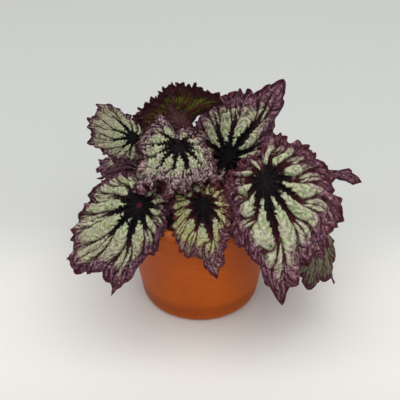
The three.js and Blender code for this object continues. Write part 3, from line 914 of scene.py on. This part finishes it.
def attribute(tree, name):
    node = tree.nodes.new("ShaderNodeAttribute")
    node.attribute_name = name
    return node.outputs["Fac"]


def blade_pattern(tree, fineness=1):
    """What the leaf's materials need: the distances to the veins, and where a point lies."""
    flat = uv_place(tree, "flat")
    length = node_with(tree, "ShaderNodeVectorMath", flat)
    length.operation = "LENGTH"
    radius = length.outputs["Value"]
    step = product(tree, radius, VEIN_SPREAD)
    speckle = noise(tree, flat, 42 * fineness, detail=3, roughness=0.6)
    drift = noise(tree, flat, 9, detail=2)

    on_veins = axes_of(tree, uv_place(tree, "veins"))
    share = on_veins["Y"]
    place = product(tree, on_veins["X"], LAST)
    distance = calculate(tree, "PINGPONG", place, 0.5)
    distances = [product(tree, distance, step)]
    for fork in FORKS:
        apart = ramp(tree, share, fork["start"], fork["end"], 0, fork["spread"])
        distance = gap(tree, distance, apart)
        distances.append(product(tree, distance, step))

    slanted = scaled(tree, distances[1], -SIDE_SLANT, radius)
    stepped = calculate(tree, "DIVIDE", slanted, SIDE_STEP)
    wavy = scaled(tree, speckle, 0.9, scaled(tree, drift, 3.2, stepped))
    side = product(tree, calculate(tree, "PINGPONG", wavy, 0.5), 2)
    from_middle = gap(tree, place, MIDDLE_VEIN)
    return SimpleNamespace(
        share=share, flat=flat, speckle=speckle, drift=drift,
        distances=distances, side=side, from_middle=from_middle,
    )


def vein_line(tree, distance, width, soft):
    """1 on a vein and 0 off it, fading over the soft distance to each side of its edge."""
    return ramp(tree, calculate(tree, "SUBTRACT", width, distance), -soft, soft)


def fork_lines(tree, pattern, widths, feather):
    """The lines of the three forks as one pattern: each begins where its fork does."""
    lines = 0.0
    for fork, distance, (wide, narrow) in zip(FORKS, pattern.distances[1:], widths):
        start = fork["start"]
        width = ramp(tree, pattern.share, start, 1, wide, narrow)
        line = vein_line(tree, distance, product(tree, width, feather), 0.006)
        line = product(tree, line, ramp(tree, pattern.share, start, start + 0.06))
        lines = calculate(tree, "MAXIMUM", line, lines)
    return lines


SAGE = colour(198, 204, 176)
LEAF_GREEN = colour(180, 194, 138)
GROOVE_SHADE_GREEN = colour(70, 76, 46)
PALE_SILVER = colour(236, 240, 220)
ROSY_BEIGE = colour(186, 164, 148)
LIT_THROUGH_GREEN = colour(192, 192, 92)
SHADED_OLIVE = colour(112, 104, 76)
CREASE_SHADE = colour(62, 58, 40)
PLUM_BROWN = colour(100, 74, 72)
MAUVE = colour(148, 104, 120)
PALE_MAUVE = colour(194, 168, 165)
PINK_HIGHLIGHT = colour(206, 164, 178)
DEEP_MAUVE = colour(66, 30, 44)
CREASE_SHADE_PLUM = colour(54, 20, 34)
CRIMSON = colour(80, 22, 40)
NEAR_BLACK = colour(8, 2, 6)
VEIN_PLUM = colour(46, 12, 24)
RED_EYE = colour(88, 12, 30)
LIT_THROUGH_RED_BROWN = colour(84, 26, 24)
DARK_RED = colour(66, 16, 26)


# The upper face is silver-green where air lies under its skin, in soft blisters between the side
# veins, and near-black purple along the veins, which are broad and feathered near the stalk. Past
# the silver comes a mauve zone that the last forks cross as fine dark lines, and a crimson rim.
def upper_face(
    name, heart_size, eye_tint=NEAR_BLACK, vein_tint=VEIN_PLUM, mauve_tint=MAUVE,
    panel_tint=SAGE, tinted=0, vein_end=0.62, fineness=1,
):
    """The veins are broad up to the share vein_end, and a small leaf's pattern is less fine."""
    material, tree, shader = new_material(name)
    pattern = blade_pattern(tree, fineness)
    share, speckle, side = pattern.share, pattern.speckle, pattern.side
    main, first = pattern.distances[:2]
    blotch = noise(tree, pattern.flat, 17 * fineness, detail=3, roughness=0.6)
    grain = noise(tree, pattern.flat, 95 * fineness, detail=2)
    edge = attribute(tree, "edge")

    # the dark veins, broadest on the line to the tip
    middle = ramp(tree, pattern.from_middle, 0.5, 0.2, 1, 1.6)
    feather = scaled(tree, side, -0.7, 1.35)
    feather = calculate(tree, "ADD", feather, scaled(tree, speckle, 1.4, -0.7))
    width = ramp(tree, share, 0.08, vein_end, heart_size * 0.26, 0.006)
    width = product(tree, width, product(tree, feather, middle))
    finer = fork_lines(tree, pattern, ((0.011, 0.006), (0.007, 0.005), (0.005, 0.004)), feather)
    finer = product(tree, finer, ramp(tree, grain, 0.3, 0.52, 0.45, 1))
    lines = calculate(tree, "MAXIMUM", vein_line(tree, main, width, 0.009), finer)
    ragged = scaled(tree, side, 0.03, scaled(tree, speckle, 0.12, share))
    heart = ramp(tree, ragged, heart_size * 0.7 + 0.1, heart_size * 0.7)
    lines = calculate(tree, "MAXIMUM", lines, heart)

    # the silver panels: dull green with paler and pinkish blotches, painted highlights on the
    # blisters' tops, and painted shade in their hollows and along the creases
    puffed = scaled(tree, speckle, 1.9, product(tree, side, 0.45))
    puffed = ramp(tree, puffed, 0.75, 1.6)
    painted_highlight = product(tree, ramp(tree, grain, 0.5, 0.72), puffed)
    green = blend(tree, SAGE, LEAF_GREEN, blotch, 0.36, 0.64)
    # painted shade: darker green in the hollows between the blisters
    silver = mixed(tree, puffed, mixed(tree, 0.42, green, GROOVE_SHADE_GREEN), green)
    # painted highlight: pale silver on the blisters' tops
    silver = mixed(tree, product(tree, painted_highlight, 0.55), silver, PALE_SILVER)
    rosy = scaled(tree, blotch, -1.6, share)
    silver = blend(tree, silver, ROSY_BEIGE, rosy, -0.5, 0.05, 0.5)
    silver = blend(tree, silver, panel_tint, share, 0.4, 0.7, tinted)
    # painted shade in the creases along the side veins
    crease_shade = product(tree, ramp(tree, side, 0.34, 0.04), ramp(tree, blotch, 0.36, 0.6))
    crease_shade = product(tree, crease_shade, ramp(tree, first, 0.08, 0.01, 0.45, 0.9))
    silver = mixed(tree, crease_shade, silver, CREASE_SHADE)
    silver = blend(tree, silver, PLUM_BROWN, first, 0.026, 0.006, 0.5)

    # the mauve zone, which reaches in along the veins
    past = calculate(tree, "SUBTRACT", share, attribute(tree, "blush"))
    past = scaled(tree, side, -0.07, scaled(tree, pattern.drift, 0.3, past))
    past = calculate(tree, "ADD", past, ramp(tree, first, 0.03, 0, 0, 0.05))
    # painted shade: the mauve is deeper in the hollows between the blisters
    mauve = mixed(tree, puffed, DEEP_MAUVE, mauve_tint)
    mauve = blend(tree, mauve, DEEP_MAUVE, grain, 0.45, 0.3, 0.6)
    # painted highlight: pink on the blisters' tops in the mauve zone
    mauve = mixed(tree, product(tree, painted_highlight, 0.6), mauve, PINK_HIGHLIGHT)
    # painted shade in the creases of the mauve zone
    mauve = mixed(tree, crease_shade, mauve, CREASE_SHADE_PLUM)
    ground = blend(tree, silver, mauve, past, 0.05, 0.22)
    rim = ramp(tree, scaled(tree, speckle, 0.05, edge), 0.95, 1.0)
    rim = product(tree, rim, ramp(tree, blotch, 0.42, 0.56, 0.4, 1))
    ground = mixed(tree, rim, ground, CRIMSON)
    dark = blend(tree, NEAR_BLACK, vein_tint, share, 0.2, 0.6)
    dark = blend(tree, dark, eye_tint, edge, 0.07, 0.035)

    shine = ramp(tree, speckle, 0.3, 0.7, 0.4, 0.58)
    skin = mixed(tree, lines, ground, dark)
    paint(tree, shader, skin, scaled(tree, lines, 0.2, shine), specular=0.2)
    height = scaled(tree, grain, 0.7, product(tree, lines, -0.5))
    height = scaled(tree, speckle, 0.5, calculate(tree, "ADD", height, puffed))
    add_bump(tree, shader, height, 0.0018, 0.8)
    return material


# The underside is dark maroon, with olive between the raised veins near the stalk.
def lower_face(name, olive_share):
    material, tree, shader = new_material(name)
    pattern = blade_pattern(tree)
    share, speckle = pattern.share, pattern.speckle
    maroon = blend(tree, colour(38, 10, 20), colour(84, 42, 50), speckle, 0.35, 0.65)
    olive = blend(tree, colour(78, 80, 12), colour(124, 126, 40), speckle, 0.35, 0.65)
    inner = scaled(tree, pattern.drift, 0.3, share)
    ground = blend(tree, maroon, olive, inner, 0.95, 0.7, olive_share)
    ground = blend(tree, ground, colour(50, 20, 22), pattern.side, 0.4, 0.06, 0.7)
    width = ramp(tree, share, 0, 1, 0.018, 0.006)
    main_line = vein_line(tree, pattern.distances[0], width, 0.004)
    finer = fork_lines(tree, pattern, ((0.009, 0.005), (0.005, 0.004), (0.004, 0.003)), 1)
    lines = calculate(tree, "MAXIMUM", main_line, finer)
    ground = mixed(tree, lines, ground, colour(72, 28, 32))
    edge = attribute(tree, "edge")
    ground = blend(tree, ground, colour(42, 12, 22), edge, 0.9, 0.99, 0.9)
    paint(tree, shader, ground, 0.55, specular=0.3)
    add_bump(tree, shader, scaled(tree, lines, 1.2, speckle), 0.0008, 0.8)
    return material


silver_face = upper_face("silver_leaf_face", heart_size=0.28)
dark_hearted_face = upper_face("dark_hearted_leaf_face", heart_size=0.23, vein_end=0.8)
FACES = {
    "front_left": upper_face("red_eyed_leaf_face", heart_size=0.32, eye_tint=RED_EYE),
    # front_middle's dark heart is drawn large as painted shadow of the crown leaf above it, and its
    # yellow-green outer panels and reddish-brown veins are painted glow of light shining through
    # the thin blade
    "front_middle": upper_face(
        "glow_and_shadow_leaf_face", heart_size=0.56,
        vein_tint=LIT_THROUGH_RED_BROWN, panel_tint=LIT_THROUGH_GREEN, tinted=0.4,
    ),
    "front_right": upper_face(
        "red_veined_leaf_face", heart_size=0.23,
        vein_tint=DARK_RED, panel_tint=PALE_SILVER, tinted=0.12, vein_end=0.72,
    ),
    "crown": upper_face(
        "crown_leaf_face", heart_size=0.36,
        mauve_tint=PALE_MAUVE, panel_tint=PALE_SILVER, tinted=0.12, vein_end=0.85, fineness=0.65,
    ),
    "upper_right": dark_hearted_face,
    "left_side": dark_hearted_face,
    # right_low lies in front_right's shadow: its panels are dulled to olive and its mauve deepened,
    # as painted shade
    "right_low": upper_face(
        "shaded_leaf_face", heart_size=0.36,
        mauve_tint=DEEP_MAUVE, panel_tint=SHADED_OLIVE, tinted=0.8,
    ),
}
red_underside = lower_face("leaf_underside", olive_share=0.85)
young_underside = lower_face("young_leaf_underside", olive_share=0.15)
FIRST_SEED = 100
SEEDS_A_LEAF = 20

for number, leaf in enumerate(LEAVES):
    blade = make_blade(leaf, FIRST_SEED + SEEDS_A_LEAF * number)
    underside = young_underside if leaf["name"] == "young" else red_underside
    coat(blade, FACES.get(leaf["name"], silver_face), underside)
    thicken = blade.modifiers.new("thickness", "SOLIDIFY")
    thicken.thickness = BLADE_THICKNESS
    thicken.offset = 0
    thicken.material_offset = 1
    thicken.material_offset_rim = 0
    apply(thicken)
    bpy.ops.object.shade_smooth()
    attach(blade, "root")
    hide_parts(f"blade_{leaf['name']}")


# The stalks are round and fleshy, thicker at the foot, where they leave the rootstock. They are
# dull red with pale streaks, and short whitish hairs stand out from them all round. The sizes
# here are in millimetres.
STALK_FOOT_RADIUS = 4
STALK_TOP_RADIUS = 2.6
SMALL_LEAF = 40
SMALL_STALK = 0.6
STALK_CLIMB = 0.45
STALK_REACH = 0.35
STALK_LEAN = 0.1
STALK_BELOW = 1.7
STALK_SIDES = 20
STALK_STEPS = 48
HAIRS = 260
HAIR_LENGTH = 1.9
HAIR_THICKNESS = 0.11
HAIR_ROOT = 0.93
HAIR_LEAN = 0.35
HAIR_FACES = ((0, 1, 3), (1, 2, 3), (2, 0, 3), (0, 2, 1))
BARE_STEPS = 9
FOOT_RING_HEIGHT = 2.5
LINE_POINTS = 40


def stalk_ends(leaf):
    """Where a stalk leaves the rootstock and where it first bends, turns up and ends, in
    millimetres. Its foot is the middle of the solid's lowest ring."""
    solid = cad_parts[f"stalk_{leaf['name']}"]
    corners = np.array([vertex.co for vertex in solid.data.vertices])
    corners = np.unique(np.round(corners * 1000, 3), axis=0)
    foot = corners[corners[:, 2] < corners[:, 2].min() + FOOT_RING_HEIGHT].mean(0)
    below = leaf.get("below", STALK_BELOW)
    top = on_plant(leaf, np.array([0, 0, -below])) * 1000
    rise = np.linalg.norm(np.array(leaf["at"]) - foot)
    lower = foot + (top - foot) * (STALK_LEAN, STALK_LEAN, 0)
    lower[2] += rise * leaf.get("climb", STALK_CLIMB)
    turn = np.array([0, -rise * STALK_LEAN, -rise * leaf.get("reach", STALK_REACH)])
    turn[2] -= below - STALK_BELOW
    upper = on_plant(leaf, turn) * 1000
    upper[2] += leaf.get("lift", 0)
    return foot, lower, upper, top


def hairs_on(line, radii, random):
    """Short tapering hairs on a stalk, each a slim three-sided pyramid, as points and faces. They
    get shorter over the last steps, so that none comes up through the blade."""
    points, faces = [], []
    along = np.diff(line, axis=0)
    along = along / np.linalg.norm(along, axis=1, keepdims=True)
    for _ in range(HAIRS):
        step = random.integers(1, len(along))
        centre = line[step] + along[step - 1] * random.uniform(0, 1)
        outward = np.cross(along[step - 1], random.normal(size=3))
        outward /= np.linalg.norm(outward)
        root = centre + outward * radii[step] * HAIR_ROOT
        lean = outward + HAIR_LEAN * random.normal(size=3)
        fading = min(1, (len(along) - step) / BARE_STEPS)
        tip = root + lean * HAIR_LENGTH * fading * random.uniform(0.6, 1.2)
        aside = np.cross(outward, along[step - 1])
        first = len(points)
        for turn in (0, 2 * np.pi / 3, 4 * np.pi / 3):
            spoke = np.cos(turn) * aside + np.sin(turn) * along[step - 1]
            points.append(root + spoke * HAIR_THICKNESS)
        points.append(tip)
        faces += [tuple(first + corner for corner in face) for face in HAIR_FACES]
    return points, faces


hairy_skin, tree, shader = new_material("stalk_skin")
place = object_place(tree)
streaks = noise(tree, stretched(tree, place, (4, 4, 1)), 160, detail=3)
blotches = noise(tree, place, 70, detail=2)
red = blend(tree, colour(98, 36, 38), colour(142, 74, 62), streaks, 0.4, 0.65)
greenish = blend(tree, red, colour(134, 122, 70), blotches, 0.52, 0.68, 0.6)
paint(tree, shader, greenish, 0.6)
add_bump(tree, shader, streaks, 0.0004, 0.7)

hair_colour, tree, shader = new_material("stalk_hair")
tone = noise(tree, object_place(tree), 300)
hairs_tint = mixed(tree, tone, colour(176, 120, 112), colour(222, 196, 184))
paint(tree, shader, hairs_tint, 0.6)


random = np.random.default_rng(SOWING + 1)
for leaf in LEAVES:
    foot, lower, upper, top = stalk_ends(leaf)
    slim = SMALL_STALK if leaf["length"] < SMALL_LEAF else 1
    deselect_all()
    bpy.ops.curve.primitive_bezier_curve_add()
    stalk = bpy.context.object
    stalk.name = f"stalk_of_{leaf['name']}"
    stalk.data.dimensions = "3D"
    stalk.data.bevel_depth = 0.001
    stalk.data.bevel_resolution = STALK_SIDES // 2 - 2
    stalk.data.resolution_u = STALK_STEPS
    stalk.data.use_fill_caps = True
    start, finish = stalk.data.splines[0].bezier_points
    for knot, place, before, after, radius in (
        (start, foot, 2 * foot - lower, lower, STALK_FOOT_RADIUS),
        (finish, top, upper, 2 * top - upper, STALK_TOP_RADIUS),
    ):
        knot.handle_left_type = knot.handle_right_type = "FREE"
        knot.co = place / 1000
        knot.handle_left = before / 1000
        knot.handle_right = after / 1000
        knot.radius = radius * slim
    shares = np.linspace(0, 1, LINE_POINTS)[:, None]
    line = (
        (1 - shares) ** 3 * foot
        + 3 * (1 - shares) ** 2 * shares * lower
        + 3 * (1 - shares) * shares**2 * upper
        + shares**3 * top
    )
    bpy.ops.object.convert(target="MESH")
    stalk = bpy.context.object
    coat(stalk, hairy_skin)
    bpy.ops.object.shade_smooth()

    radii = slim * (STALK_FOOT_RADIUS + (STALK_TOP_RADIUS - STALK_FOOT_RADIUS) * shares[:, 0])
    points, faces = hairs_on(line, radii, random)
    hair_mesh = bpy.data.meshes.new("hairs")
    hair_mesh.from_pydata([tuple(point / 1000) for point in points], [], faces)
    hair_mesh.materials.append(hair_colour)
    hairs = bpy.data.objects.new("hairs", hair_mesh)
    bpy.context.collection.objects.link(hairs)
    stalk = joined([stalk, hairs])
    bpy.ops.object.transform_apply(location=True, rotation=True, scale=True)
    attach(stalk, "root")
    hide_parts(f"stalk_{leaf['name']}")


# The floor is a sheet of plain pale paper. Its colour is lightest round the pot, darker farther
# back, and darker and warmer towards the camera: painted light and shade, for how the studio
# light falls off over the floor.
bpy.ops.mesh.primitive_plane_add(size=12)
floor = bpy.context.object
floor.name = "floor"
paper, tree, shader = new_material("pale_paper")
depth = axes_of(tree, object_place(tree))["Y"]
# painted light and shade: lightest round the pot, darker far off and towards the camera
middle = blend(tree, colour(220, 219, 214), colour(195, 197, 194), depth, -0.02, 0.14)
paint(tree, shader, blend(tree, middle, colour(178, 176, 168), depth, -0.1, -0.3), 0.7)
coat(floor, paper)
floor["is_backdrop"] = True


# Soft studio light: a big lamp high overhead, a weaker one low in front, and a pale surround that
# fills the shadows.
LAMP_TARGET = Vector((0, 0, 0.1))


def add_softbox(name, location, size, power, tint):
    bpy.ops.object.light_add(type="AREA", location=location)
    lamp = bpy.context.object
    lamp.name = name
    lamp.data.size = size
    lamp.data.energy = power
    lamp.data.color = tint
    aim = Vector(location) - LAMP_TARGET
    lamp.rotation_euler = aim.to_track_quat("Z", "Y").to_euler()


add_softbox("key_light", (0.0, -0.6, 2.5), size=3.0, power=51, tint=(1, 0.985, 0.96))
add_softbox("front_light", (0.3, -1.5, 0.9), size=1.2, power=5.5, tint=(1, 0.99, 0.97))
surround = bpy.data.worlds.new("surround")
surround.use_nodes = True
sky = surround.node_tree.nodes["Background"]
sky.inputs["Color"].default_value = (0.97, 0.98, 1, 1)
sky.inputs["Strength"].default_value = 0.66
bpy.context.scene.world = surround

low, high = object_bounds()
